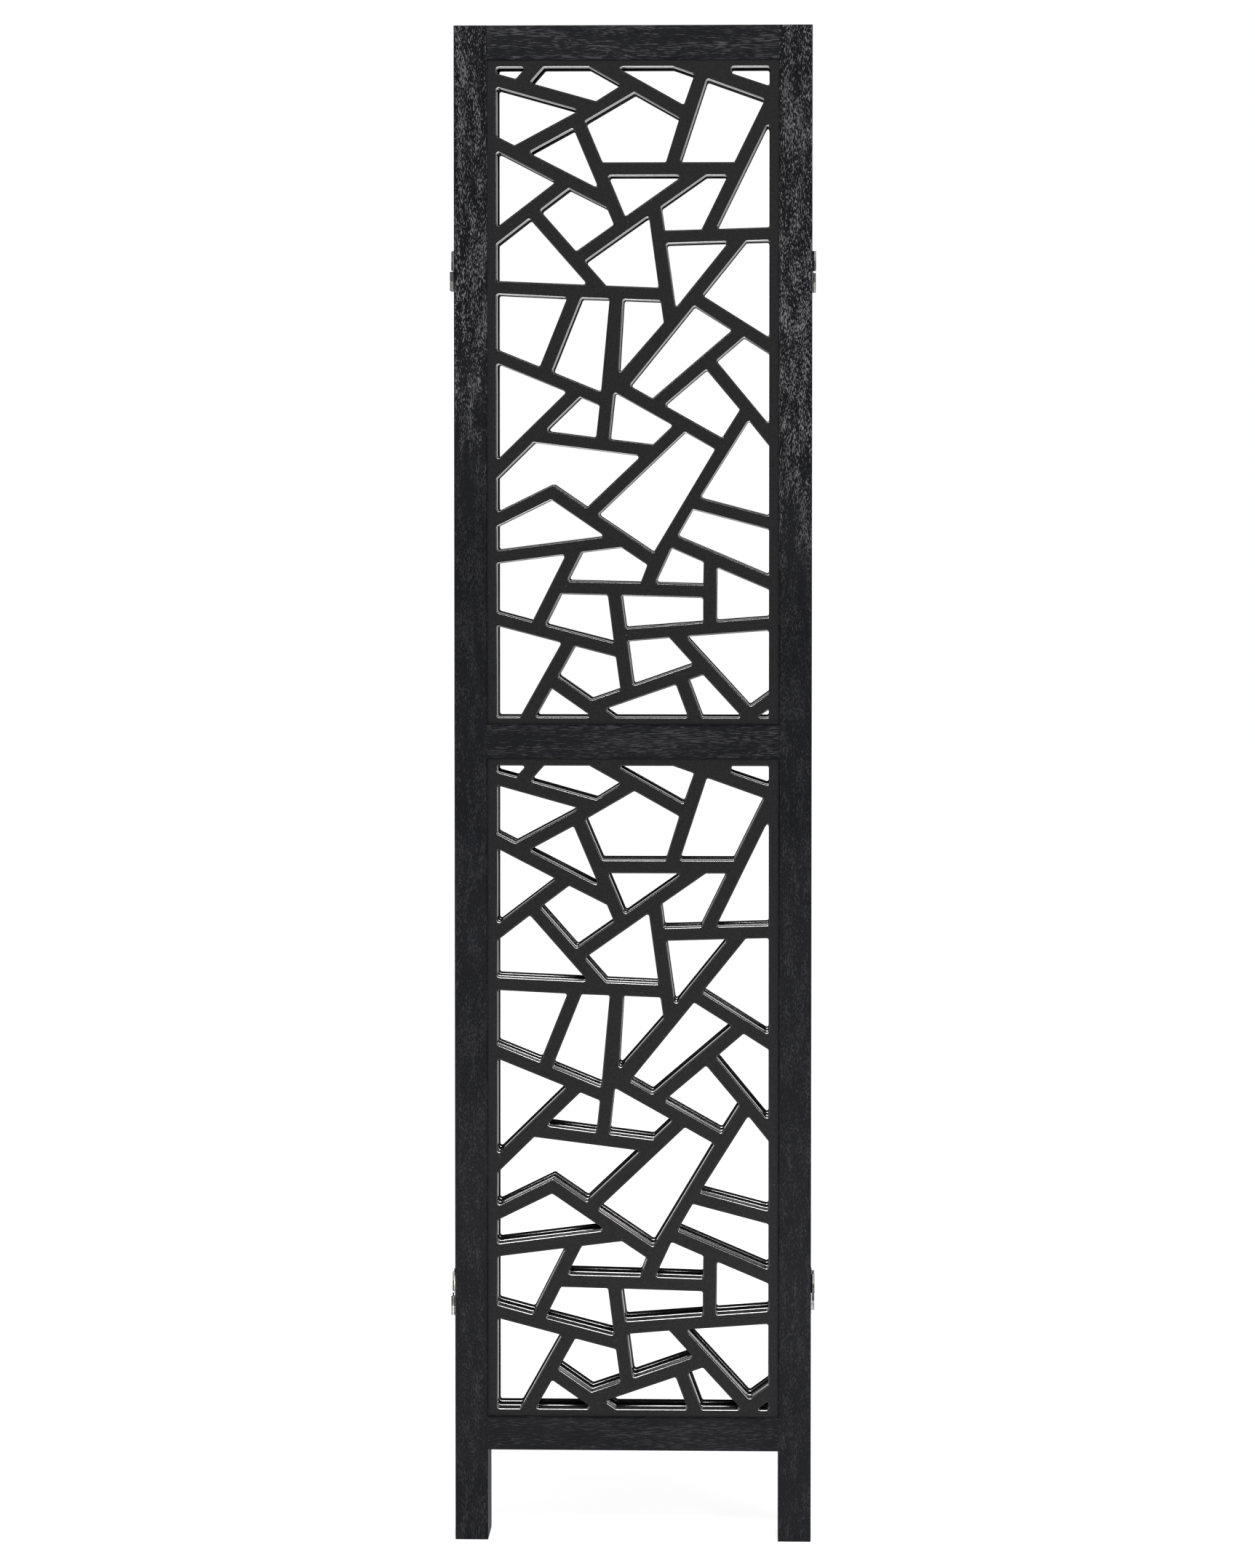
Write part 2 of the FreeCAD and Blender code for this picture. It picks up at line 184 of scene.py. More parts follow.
lacquer, lacquer_in, lacquer_out = new_group(
    "sprayed_lacquer",
    [("Place", VECTOR, None), ("Peel Width", FLOAT, 1.6 * MM), ("Speck Gap", FLOAT, 24 * MM)],
    [("Peel", FLOAT), ("Specks", FLOAT), ("Haze", FLOAT), ("Grit", FLOAT)],
)
peel_scale = calculate(lacquer, "DIVIDE", 1.0, lacquer_in.outputs["Peel Width"])
speck_scale = calculate(lacquer, "DIVIDE", 1.0, lacquer_in.outputs["Speck Gap"])
place = lacquer_in.outputs["Place"]
cells = add(lacquer, "ShaderNodeTexVoronoi", {"Vector": place, "Scale": speck_scale})
haze = noise(lacquer, place, HAZE_SCALE, detail=3.0)[0]
grit = noise(lacquer, place, GRIT_SCALE, detail=1.0)[0]
for label, value in (
    ("Peel", noise(lacquer, place, peel_scale, detail=1.0)[0]),
    ("Specks", remap(lacquer, cells.outputs["Distance"], *SPECK_RANGE)),
    ("Haze", remap(lacquer, haze, *HAZE_RANGE)),
    ("Grit", remap(lacquer, grit, *GRIT_RANGE)),
):
    lacquer.links.new(value, lacquer_out.inputs[label])
print("group:", lacquer.name)

# %% [markdown]
# ### Drawn metal
#
# The hinges are pressed from bright plated strip. Rolling leaves fine lines along the strip, and
# handling leaves duller clouds in the plating. An anisotropic shader would stretch the highlights, but
# show no lines from near, so a stretched noise draws the lines and a wide one the clouds.

# %% The metal group
LINE_STRETCH = 0.04
CLOUD_SCALE, CLOUD_RANGE = 180.0, (0.35, 0.7)

metal, metal_in, metal_out = new_group(
    "rolled_strip",
    [("Place", VECTOR, None), ("Line Width", FLOAT, 0.35 * MM)],
    [("Lines", FLOAT), ("Clouds", FLOAT)],
)
line_scale = calculate(metal, "DIVIDE", 1.0, metal_in.outputs["Line Width"])
place = metal_in.outputs["Place"]
along = add(metal, "ShaderNodeMapping", {"Vector": place, "Scale": (1.0, 1.0, LINE_STRETCH)}).outputs[0]
clouds = noise(metal, place, CLOUD_SCALE, detail=3.0)[0]
metal.links.new(noise(metal, along, line_scale)[0], metal_out.inputs["Lines"])
metal.links.new(remap(metal, clouds, *CLOUD_RANGE), metal_out.inputs["Clouds"])
print("group:", metal.name)

# %% [markdown]
# ## Finishes
#
# Every material is a Principled BSDF with a few of those effects. Black lacquer is hard to light: a
# base that is too pale looks like plastic, and a coat that is too clear mirrors the whole studio. A
# dark base with a modest specular level reads as satin, and the light then draws the arrises.

# %% Helpers for materials
BLACK = (0.0024, 0.0028, 0.0045, 1.0)
BLACK_PALER = (0.0078, 0.0081, 0.0107, 1.0)
# A painted glint: the pale grey of the frame's open pores, standing for the lamp's highlights in them.
GLINT_GREY = (0.16, 0.156, 0.167, 1.0)
SPECK_GREY = (0.1, 0.095, 0.09, 1.0)


def new_material(name, **values):
    """A material with a Principled BSDF whose plain values are set by name."""
    material = bpy.data.materials.new(name)
    material.use_nodes = True
    shader = material.node_tree.nodes["Principled BSDF"]
    for label, value in values.items():
        shader.inputs[label.replace("_", " ")].default_value = value
    return material, material.node_tree, shader


def use_group(tree, group, **values):
    """A node that uses a group."""
    node = add(tree, "ShaderNodeGroup", node_tree=group)
    for label, value in values.items():
        socket = node.inputs[label.replace("_", " ")]
        if isinstance(value, bpy.types.NodeSocket):
            tree.links.new(value, socket)
        else:
            socket.default_value = value
    return node


def object_place(tree):
    """The place on the piece, in the piece's own frame."""
    return add(tree, "ShaderNodeTexCoord").outputs["Object"]


def split(tree, vector):
    """A vector's three parts, by the names X, Y and Z."""
    return add(tree, "ShaderNodeSeparateXYZ", {0: vector}).outputs


def add_bump(tree, shader, height, distance):
    """A bump on the shader's normal."""
    bump = add(tree, "ShaderNodeBump", {"Height": height, "Distance": distance})
    tree.links.new(bump.outputs[0], shader.inputs["Normal"])


# %% [markdown]
# ### The frame's wood
#
# Stiles and rails share one recipe and differ in the fibre's direction. The Mapping node squeezes the
# pattern along one axis, which draws it out on the wood. Lacquer has run down the screen while it
# dried, so the pores are filled low down and open high up, deeper and glossier there. The pale grey
# in the open pores is a painted glint: it stands for the key lamp's highlights on the pore walls, so it
# fades down the screen with the openness. A plain ramp over the height would show as a straight
# border, so the height leans a little to one side and takes a ragged share of the grain's bands. On
# the rails the fibre is finer and longer, and it opens more slowly with height.

# %% The frame's lacquered wood
STILE_STRETCH = 0.22
RAIL_STRETCH = 0.07
LEAST_OPEN = 0.12
FILLING_SLANT = 0.3
FILLING_RAGGED = 0.08
FILLED_ROUGHNESS, OPEN_ROUGHNESS = 0.6, 0.34
PEEL_SHARE = 0.03
GRAIN_DEPTH = 1.0 * MM


def make_frame_wood(name, squeeze, pore_width, strongest, filled_below, open_above):
    """Black lacquer over open-grained wood, with the fibre along the squeezed axis."""
    material, tree, shader = new_material(name, **{"Specular IOR Level": 0.11})
    place = object_place(tree)
    fibre = add(tree, "ShaderNodeMapping", {"Vector": place, "Scale": squeeze}).outputs[0]
    wood = use_group(tree, grain, Fibre=fibre, Pore_Width=pore_width)
    coat = use_group(tree, lacquer, Place=place)
    parts = split(tree, place)
    rise = calculate(tree, "ADD", parts["Z"], product(tree, parts["X"], FILLING_SLANT))
    ragged = calculate(tree, "ADD", rise, product(tree, wood.outputs["Bands"], FILLING_RAGGED))
    openness = remap(tree, ragged, filled_below, open_above, LEAST_OPEN, strongest)
    # Painted glint: the open pores turn pale grey, strongest high up, in place of the key lamp's
    # highlights.
    painted_glints = product(tree, wood.outputs["Pores"], openness)
    cloud = product(tree, coat.outputs["Haze"], coat.outputs["Grit"])
    color = blend_colors(tree, cloud, BLACK, BLACK_PALER)
    color = blend_colors(tree, painted_glints, color, GLINT_GREY)
    color = blend_colors(tree, coat.outputs["Specks"], color, SPECK_GREY)
    tree.links.new(color, shader.inputs["Base Color"])
    dull = remap(tree, openness, 0.0, 1.0, FILLED_ROUGHNESS, OPEN_ROUGHNESS)
    tree.links.new(dull, shader.inputs["Roughness"])
    relief = product(tree, wood.outputs["Relief"], openness)
    height = calculate(tree, "ADD", product(tree, coat.outputs["Peel"], PEEL_SHARE), relief)
    add_bump(tree, shader, height, GRAIN_DEPTH)
    return material


stile_wood = make_frame_wood(
    "stile_lacquer",
    (1.0, 1.0, STILE_STRETCH),
    pore_width=0.8 * MM,
    strongest=1.0,
    filled_below=1.21,
    open_above=1.33,
)
rail_wood = make_frame_wood(
    "rail_lacquer",
    (RAIL_STRETCH, 1.0, 1.0),
    pore_width=0.75 * MM,
    strongest=0.3,
    filled_below=0.5,
    open_above=1.7,
)
print("finishes:", stile_wood.name, rail_wood.name)

# %% [markdown]
# ### The boards' lacquer
#
# The fretwork is cut from smooth board, so its lacquer lies flat, a little warmer than the wood's.
# The front boards' openings are polished, so they mirror the studio as bright lines. An arris that
# looks up gets a paler tint, partly painted highlight: the lamp's real reflection is there, and the
# tint makes it stronger. High on the screen, a polished arris that looks down or to the right is pale
# too, and that is a painted reflection of the white backdrop and flat, not wear. One material does
# this, since it can read the face's normal and height. The boards carry two attributes for it: arris
# is 1 on an arris, and routed is 1 wherever the polish is. The boards behind keep raw sides, whose
# matte black is the dark line next to each bright one.

# %% The boards' lacquer
ARRIS_DARK = (0.04, 0.04, 0.04, 1.0)
# Pale arris tints by facing: painted highlight on arrises that look up, painted reflection on those
# that look down or right.
ARRIS_HIGHLIGHT_GREY = (0.4, 0.395, 0.4, 1.0)
ARRIS_REFLECTION_GREY = (0.36, 0.355, 0.36, 1.0)
BOARD_BLACK = (0.0035, 0.0034, 0.0036, 1.0)
BOARD_PALER = (0.0125, 0.012, 0.0128, 1.0)
GREY_SLOPE = (0.0, 0.3)
REFLECTION_SLOPE = (0.2, 0.5)
REFLECTION_RISE = (0.9, 1.25)
RIGHT_SHARE = 0.8
FACE_ROUGHNESS, POLISH_ROUGHNESS, ARRIS_ROUGHNESS = 0.65, 0.12, 0.22
PEEL_DEPTH = 0.02 * MM

board_lacquer, tree, shader = new_material("fretwork_lacquer", **{"Specular IOR Level": 0.17})
coat = use_group(tree, lacquer, Place=object_place(tree))
arris = add(tree, "ShaderNodeAttribute", attribute_name="arris").outputs["Fac"]
routed = add(tree, "ShaderNodeAttribute", attribute_name="routed").outputs["Fac"]
color = blend_colors(tree, coat.outputs["Grit"], BOARD_BLACK, BOARD_PALER)
facing = split(tree, add(tree, "ShaderNodeNewGeometry").outputs["Normal"])
rise = split(tree, object_place(tree))["Z"]
under = calculate(tree, "SUBTRACT", product(tree, facing["X"], RIGHT_SHARE), facing["Z"])
# Painted reflection: high on the screen, polished arrises that look down or to the right get a pale
# tint in place of the white they mirror.
painted_reflection = product(tree, routed, remap(tree, under, *REFLECTION_SLOPE), remap(tree, rise, *REFLECTION_RISE))
# Partly painted highlight: an arris that looks up gets a paler tint, which strengthens the key lamp's
# real reflection on it.
edge = blend_colors(tree, remap(tree, facing["Z"], *GREY_SLOPE), ARRIS_DARK, ARRIS_HIGHLIGHT_GREY)
color = blend_colors(tree, arris, color, blend_colors(tree, painted_reflection, edge, ARRIS_REFLECTION_GREY))
color = blend_colors(tree, coat.outputs["Specks"], color, SPECK_GREY)
tree.links.new(color, shader.inputs["Base Color"])
dull = remap(tree, routed, 0.0, 1.0, FACE_ROUGHNESS, POLISH_ROUGHNESS)
tree.links.new(remap(tree, arris, 0.0, 1.0, dull, ARRIS_ROUGHNESS), shader.inputs["Roughness"])
tree.links.new(arris, shader.inputs["Metallic"])
add_bump(tree, shader, coat.outputs["Peel"], PEEL_DEPTH)

raw_side, tree, shader = new_material("raw_side", **{"Specular IOR Level": 0.0, "Roughness": 1.0})
coat = use_group(tree, lacquer, Place=object_place(tree))
color = blend_colors(tree, coat.outputs["Grit"], BOARD_BLACK, BOARD_PALER)
tree.links.new(color, shader.inputs["Base Color"])
print("finishes:", board_lacquer.name, raw_side.name)

# %% [markdown]
# ### The hinges' steel
#
# Leaves, links, pins and screws are bright zinc-plated steel. They differ only in tone and in how dull
# the plating has become; the links' much darker tone is painted shade, standing for the dark they show
# in the hinges. Four copies of a material would drift apart, so one function makes them all.

# %% The hinges' steel
BRIGHT_TINT = (1.0, 0.99, 0.95)
DARK_TINT = (0.6, 0.59, 0.56)
CLOUD_DULLING = 0.2
LINE_DEPTH = 0.01 * MM


def make_steel(name, tone, dull):
    """Plated steel of one tone. The roughness runs from bright to dull in clouds."""
    material, tree, shader = new_material(name, Metallic=1.0)
    strip = use_group(tree, metal, Place=object_place(tree))
    bright = (*(tone * part for part in BRIGHT_TINT), 1.0)
    dark = (*(tone * part for part in DARK_TINT), 1.0)
    color = blend_colors(tree, strip.outputs["Clouds"], bright, dark)
    tree.links.new(color, shader.inputs["Base Color"])
    roughness = remap(tree, strip.outputs["Clouds"], 0.0, 1.0, dull, dull + CLOUD_DULLING)
    tree.links.new(roughness, shader.inputs["Roughness"])
    add_bump(tree, shader, strip.outputs["Lines"], LINE_DEPTH)
    return material


leaf_steel = make_steel("leaf_plating", 0.34, 0.25)
# Painted shade: the links carry the same plating as the leaves, made far darker to stand for the shade
# they show.
link_steel_shaded = make_steel("link_plating_shaded", 0.12, 0.3)
pin_steel = make_steel("pin_steel", 0.3, 0.2)
screw_steel = make_steel("screw_steel", 0.3, 0.3)
print("finishes:", leaf_steel.name, link_steel_shaded.name, pin_steel.name, screw_steel.name)

# %% [markdown]
# ## The frame and the hinges
#
# Stiles, rails, leaves, links and pins have their right shape already, so they only take a finish. The
# end of a piece's name says what it is, and a short table gives each ending its material.

# %% Dress the pieces that keep their shape
FINISHES = {
    "_stile": stile_wood,
    "_rail": rail_wood,
    "_leaf": leaf_steel,
    "_link": link_steel_shaded,
    "_pins": pin_steel,
}
for name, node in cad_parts.items():
    for ending, material in FINISHES.items():
        if name.endswith(ending):
            node.data.materials.clear()
            node.data.materials.append(material)
print("dressed:", sum(name.endswith(tuple(FINISHES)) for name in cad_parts), "pieces")

# %% [markdown]
# ## The fretwork boards
#
# Each board is one sheet with forty-five irregular openings. A router leaves its marks in two ways:
# no inside corner can be sharper than the cutter, and a second pass eases the arrises. The openings
# follow no rule, so they are read from the construction: the edges that only one triangle of the flat
# front face owns are the outlines. A Bevel modifier could round the solid, but it folds over itself
# where two openings' corners come close. Flat Bezier curves do both jobs without that.

# %% Find the outlines of a board
SAME_PLACE = 0.001 * MM
PLACE_DIGITS = 6


def outlines(node):
    """The closed outlines of a node's flat front face, as lists of points (x, z)."""
    mesh = node.data
    front = min(v.co.y for v in mesh.vertices)
    ahead = [v for v in mesh.vertices if v.co.y < front + SAME_PLACE]
    places = {v.index: tuple(round(c, PLACE_DIGITS) for c in (v.co.x, v.co.z)) for v in ahead}
    edges = set()
    for polygon in mesh.polygons:
        corners = list(polygon.vertices)
        if all(i in places for i in corners):
            for a, b in zip(corners, corners[1:] + corners[:1]):
                if (places[b], places[a]) in edges:
                    edges.remove((places[b], places[a]))
                else:
                    edges.add((places[a], places[b]))
    following = dict(edges)
    loops = []
    while following:
        start, point = following.popitem()
        loop = [start]
        while point != start:
            loop.append(point)
            point = following.pop(point)
        loops.append([Vector(p) for p in loop])
    return loops


print("outlines of a board:", len(outlines(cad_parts["front_lower_board"])))

# %% [markdown]
# ### Rounded corners
#
# The router's cutter leaves a small round in every inside corner. An arc needs its centre worked out.
# A Bezier curve needs only two points, one on each side of the corner, whose handles reach towards it.
# Where a side is short, the points stay near the corner, so that two rounds never meet.

# %% Draw an outline with rounded corners
CORNER_RADIUS = 2.2 * MM
CORNER_STEPS = 4
HANDLE_SHARE = 0.55
MOST_OF_SIDE = 0.3


def draw_rounded(curve, loop):
    """A closed Bezier outline through a loop, with its corners rounded where there is room."""
    points = []
    for before, corner, after in zip(loop[-1:] + loop[:-1], loop, loop[1:] + loop[:1]):
        back, ahead = before - corner, after - corner
        half_turn = back.angle(ahead) / 2
        room = MOST_OF_SIDE * min(back.length, ahead.length)
        reach = min(CORNER_RADIUS / math.tan(half_turn), room)
        for side in (back, ahead):
            end = corner + side.normalized() * reach
            points.append((end, end.lerp(corner, HANDLE_SHARE)))
    spline = curve.splines.new("BEZIER")
    spline.bezier_points.add(len(points) - 1)
    spline.use_cyclic_u = True
    spline.resolution_u = CORNER_STEPS
    for i, (place, handle) in enumerate(points):
        point = spline.bezier_points[i]
        point.co = (*place, 0)
        starts_corner = i % 2 == 0
        point.handle_left_type = "VECTOR" if starts_corner else "FREE"
        point.handle_right_type = "FREE" if starts_corner else "VECTOR"
        if starts_corner:
            point.handle_right = (*handle, 0)
        else:
            point.handle_left = (*handle, 0)


# %% [markdown]
# ### Marks for the material
#
# The material has to know an arris from a flat face and from a cut side. The marks could be painted
# by hand, but a face's own direction tells them apart: a flat face looks along Y, a side across it,
# and an arris lies between. An edge between a flat face and its arris is marked sharp, which keeps the
# big faces flat in the light.

# %% Mark the arrises and the cut sides
FLAT_SHARE = 0.999
SIDE_SHARE = 0.05


def mark_arrises(mesh, polished):
    """Smooth faces, sharp edges round the flat faces, and marks for the arrises and the cut sides."""
    work = bmesh.new()
    work.from_mesh(mesh)
    bmesh.ops.remove_doubles(work, verts=work.verts, dist=SAME_PLACE)
    bmesh.ops.recalc_face_normals(work, faces=work.faces)
    arris = work.faces.layers.float.new("arris")
    routed = work.faces.layers.float.new("routed")
    for face in work.faces:
        flatness = abs(face.normal.y)
        side = flatness <= SIDE_SHARE
        face.smooth = True
        face[arris] = float(SIDE_SHARE < flatness < FLAT_SHARE)
        face[routed] = float(polished and (side or face[arris]))
        face.material_index = int(side and not polished)
    for edge in work.edges:
        edge.smooth = len({face[arris] for face in edge.link_faces}) == 1
    work.to_mesh(mesh)
    work.free()


# %% [markdown]
# ### Six boards
#
# A board is as thick as in the construction. The curve's own bevel eases its arrises, and its offset
# pulls the outline in by as much, so that an opening keeps its size. The curve lies flat while it is
# drawn. It becomes a mesh, and then the mesh is stood up and moved to the board's place, so that the
# piece's object stays at the origin. Only the front boards are polished.

# %% Make the boards
ARRIS = 1.3 * MM
ARRIS_STEPS = 1


def make_board(name, node_name, polished):
    """A fretwork board with rounded corners and eased arrises, in place of the plain one."""
    low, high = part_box(node_name)
    curve = bpy.data.curves.new(name, "CURVE")
    curve.dimensions = "2D"
    curve.fill_mode = "BOTH"
    curve.extrude = (high.y - low.y) / 2 - ARRIS
    curve.bevel_depth = ARRIS
    curve.bevel_resolution = ARRIS_STEPS
    curve.offset = -ARRIS
    loops = outlines(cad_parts[node_name])
    for loop in loops:
        draw_rounded(curve, loop)
    flat = bpy.data.objects.new(name + "_flat", curve)
    bpy.context.scene.collection.objects.link(flat)
    shown = flat.evaluated_get(bpy.context.evaluated_depsgraph_get())
    mesh = bpy.data.meshes.new_from_object(shown)
    bpy.data.objects.remove(flat)
    upright = Matrix.Rotation(math.pi / 2, 4, "X")
    mesh.transform(Matrix.Translation((0, (low.y + high.y) / 2, 0)) @ upright)
    mesh.materials.clear()
    mesh.materials.append(board_lacquer)
    if not polished:
        mesh.materials.append(raw_side)
    mark_arrises(mesh, polished)
    board = bpy.data.objects.new(name, mesh)
    bpy.context.scene.collection.objects.link(board)
    print(name, len(loops) - 1, "openings,", len(mesh.polygons), "faces")
    return board


for panel in PANELS:
    for level in ("lower", "upper"):
        node_name = f"{panel}_{level}_board"
        board = make_board(f"{panel}_{level}_fretwork", node_name, panel == "front")
        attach(board, f"{panel}_panel")
        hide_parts(node_name)

# %% [markdown]
# ## Screws and pin ends
#
# Two screws hold each leaf, and each knuckle shows the peened end of its pin. They could be copied one
# by one, but the same small shape many times over is work for Geometry Nodes: a few loose points carry
# a direction, and one tree puts a head on every point. Realize Instances turns it into plain mesh.

# %% The tree that sets heads on points


def make_head_tree():
    """A Geometry Nodes tree that puts an object's mesh on each point, facing its direction."""
    tree = bpy.data.node_groups.new("heads_on_points", "GeometryNodeTree")
    for label, kind in (("Geometry", "Geometry"), ("Head", "Object"), ("Finish", "Material")):
        tree.interface.new_socket(label, in_out="INPUT", socket_type="NodeSocket" + kind)
    tree.interface.new_socket("Geometry", in_out="OUTPUT", socket_type="NodeSocketGeometry")
    given = tree.nodes.new("NodeGroupInput")
    result = tree.nodes.new("NodeGroupOutput")
    info = add(tree, "GeometryNodeObjectInfo", {"Object": given.outputs["Head"]})
    facing = add(tree, "GeometryNodeInputNamedAttribute", {"Name": "facing"}, data_type="FLOAT_VECTOR")
    values = {"Vector": facing.outputs["Attribute"]}
    turn = add(tree, "FunctionNodeAlignRotationToVector", values, axis="Z")
    values = {
        "Points": given.outputs["Geometry"],
        "Instance": info.outputs["Geometry"],
        "Rotation": turn.outputs["Rotation"],
    }
    heads = add(tree, "GeometryNodeInstanceOnPoints", values)
    real = add(tree, "GeometryNodeRealizeInstances", {"Geometry": heads.outputs[0]})
    values = {"Geometry": real.outputs[0], "Material": given.outputs["Finish"]}
    finished = add(tree, "GeometryNodeSetMaterial", values)
    tree.links.new(finished.outputs[0], result.inputs[0])
    return tree


head_tree = make_head_tree()
print("tree:", head_tree.name)

# %% [markdown]
# ### From places to a piece
#
# The tree needs a mesh of bare points with the direction as an attribute. The modifier's inputs are
# set by their sockets' identifiers before anything is evaluated. The result is taken as a new mesh,
# and the points' object goes, so that one plain piece is left.

# %% Put heads at places


def set_heads(name, places, head, material):
    """One mesh piece with a head at each place, a place being a point and the direction it faces."""
    points = bpy.data.meshes.new(name + "_points")
    points.from_pydata([point for point, _ in places], [], [])
    facing = points.attributes.new("facing", "FLOAT_VECTOR", "POINT")
    facing.data.foreach_set("vector", np.array([way for _, way in places], np.float32).ravel())
    holder = bpy.data.objects.new(name + "_holder", points)
    modifier = holder.modifiers.new("heads", "NODES")
    modifier.node_group = head_tree
    sockets = {s.name: s.identifier for s in head_tree.interface.items_tree if s.in_out == "INPUT"}
    modifier[sockets["Head"]] = head
    modifier[sockets["Finish"]] = material
    bpy.context.scene.collection.objects.link(holder)
    shown = holder.evaluated_get(bpy.context.evaluated_depsgraph_get())
    mesh = bpy.data.meshes.new_from_object(shown)
    bpy.data.objects.remove(holder)
    piece = bpy.data.objects.new(name, mesh)
    bpy.context.scene.collection.objects.link(piece)
    return piece


# %% [markdown]
# ### The heads
#
# A screw head is a low dome with a cross pressed into it. A boolean could cut the cross, but it leaves
# long thin faces. So the dome is a grid of points in rings, and every point that lies in the cross is
# pushed down. The pin end is the same dome without a cross.

# %% Model a head
HEAD_TURNS = 48
HEAD_RINGS = 12


def make_head(name, radius, rise, cross_width=0.0, cross_reach=0.0, cross_depth=0.0):
    """A domed head that stands on z = 0, with a cross in it where the cross has a width."""
    work = bmesh.new()
    rings = []
    for ring in range(1, HEAD_RINGS + 1):
        share = ring / HEAD_RINGS
        verts = []
        for turn in range(HEAD_TURNS):
            angle = math.tau * turn / HEAD_TURNS
            x, y = radius * share * math.cos(angle), radius * share * math.sin(angle)
            z = rise * math.sqrt(1 - share**4)
            if min(abs(x), abs(y)) < cross_width / 2 and max(abs(x), abs(y)) < cross_reach:
                z -= cross_depth
            verts.append(work.verts.new((x, y, z)))
        rings.append(verts)
    middle = work.verts.new((0, 0, rise - cross_depth))
    for turn in range(HEAD_TURNS):
        work.faces.new((middle, rings[0][turn], rings[0][(turn + 1) % HEAD_TURNS]))
        for inner, outer in zip(rings, rings[1:]):
            after = (turn + 1) % HEAD_TURNS
            work.faces.new((inner[turn], outer[turn], outer[after], inner[after]))
    work.faces.new(list(reversed(rings[-1])))
    bmesh.ops.recalc_face_normals(work, faces=work.faces)
    mesh = bpy.data.meshes.new(name)
    work.to_mesh(mesh)
    work.free()
    head = bpy.data.objects.new(name, mesh)
    bpy.context.scene.collection.objects.link(head)
    return head


cross = {"cross_width": 0.8 * MM, "cross_reach": 1.6 * MM, "cross_depth": 0.35 * MM}
screw_head = make_head("screw_head", radius=2.7 * MM, rise=0.42 * MM, **cross)
pin_head = make_head("pin_head", radius=0.85 * MM, rise=0.3 * MM)
print("heads:", len(screw_head.data.polygons), "and", len(pin_head.data.polygons), "faces")

# %% [markdown]
# ### Where they go
#
# A leaf's screws stand above and below its middle, on the face that looks away from the wood. One of
# the two hides behind a link while the screen is folded. The knuckles run along a leaf's two sides.
# The middle panel's pins show at the knuckles' tops, and the other panels' pins at their bottoms.

# %% Set the screws and pin ends
SCREW_RISE_SHARE = 0.3
LEAF_THICKNESS = 1.2 * MM
BARREL_RADIUS = 2.05 * MM

for panel in PANELS:
    screws, ends = [], []
    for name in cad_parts:
        if not name.endswith(f"{panel}_leaf"):
            continue
        low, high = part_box(name)
        out = -1 if name.startswith("left") else 1
        edge = high.x if out < 0 else low.x
        face = edge + out * LEAF_THICKNESS
        barrel_x = (low.x if out < 0 else high.x) - out * BARREL_RADIUS
        wood_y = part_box(f"{panel}_middle_rail")
        middle_y = (wood_y[0].y + wood_y[1].y) / 2
        middle_z = (low.z + high.z) / 2
        for sign in (-1, 1):
            z = middle_z + sign * SCREW_RISE_SHARE * (high.z - low.z)
            screws.append(((face, middle_y, z), (out, 0, 0)))
        end_z, way = (high.z, 1) if panel == "middle" else (low.z, -1)
        for y in (low.y + BARREL_RADIUS, high.y - BARREL_RADIUS):
            ends.append(((barrel_x, y, end_z), (0, 0, way)))
    for name, places, head, material, slot in (
        (f"{panel}_screws", screws, screw_head, screw_steel, "leaf_steel"),
        (f"{panel}_pin_ends", ends, pin_head, pin_steel, "pin_steel"),
    ):
        piece = set_heads(name, places, head, material)
        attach(piece, f"{panel}_panel")
        print(name, len(places), "heads")
for head in (screw_head, pin_head):
    bpy.data.objects.remove(head)

# %% [markdown]
# ## The studio
#
# The background is pure white. A wall with strong lamps on it would do that in a real studio, and would
# flood the black lacquer with light. Here the world knows which ray asks. Camera rays see white, and
# diffuse rays a dimmer world. Gloss rays see the white backdrop behind the screen, one white flat on
# the right, and a dim room elsewhere: a polished edge is bright only where it mirrors one of the two.

# %% The world
WORLD_FILL = 0.35
ROOM_DIM = 0.06
BACKDROP_TURN, BACKDROP_HEAD = (-0.2, 0.3), (0.16, 0.07)
FLAT_TURN, FLAT_FOOT, FLAT_HEAD = (0.9, 0.97), (-0.02, 0.0), (0.3, 0.2)


def seen_directly(tree):
    """The ray's path, and a mask that is 1 for camera, glossy and transmission rays."""
    path = add(tree, "ShaderNodeLightPath")
    seen = calculate(tree, "MAXIMUM", path.outputs["Is Camera Ray"], path.outputs["Is Glossy Ray"])
    return path, calculate(tree, "MAXIMUM", seen, path.outputs["Is Transmission Ray"])


world = bpy.data.worlds.new("white_studio")
world.use_nodes = True
bpy.context.scene.world = world
tree = world.node_tree
way = split(tree, add(tree, "ShaderNodeTexCoord").outputs["Generated"])
path, seen = seen_directly(tree)
backdrop = product(tree, remap(tree, way["Y"], *BACKDROP_TURN), remap(tree, way["Z"], *BACKDROP_HEAD))
flat = product(
    tree,
    remap(tree, way["X"], *FLAT_TURN),
    remap(tree, way["Z"], *FLAT_FOOT),
    remap(tree, way["Z"], *FLAT_HEAD),
)
white = calculate(tree, "MAXIMUM", backdrop, path.outputs["Is Camera Ray"])
white = calculate(tree, "MAXIMUM", white, flat)
shown = remap(tree, white, 0.0, 1.0, ROOM_DIM, 1.0)
sky = tree.nodes["Background"]
sky.inputs["Color"].default_value = (1.0, 1.0, 1.0, 1.0)
tree.links.new(remap(tree, seen, 0.0, 1.0, WORLD_FILL, shown), sky.inputs["Strength"])
print("world:", world.name)

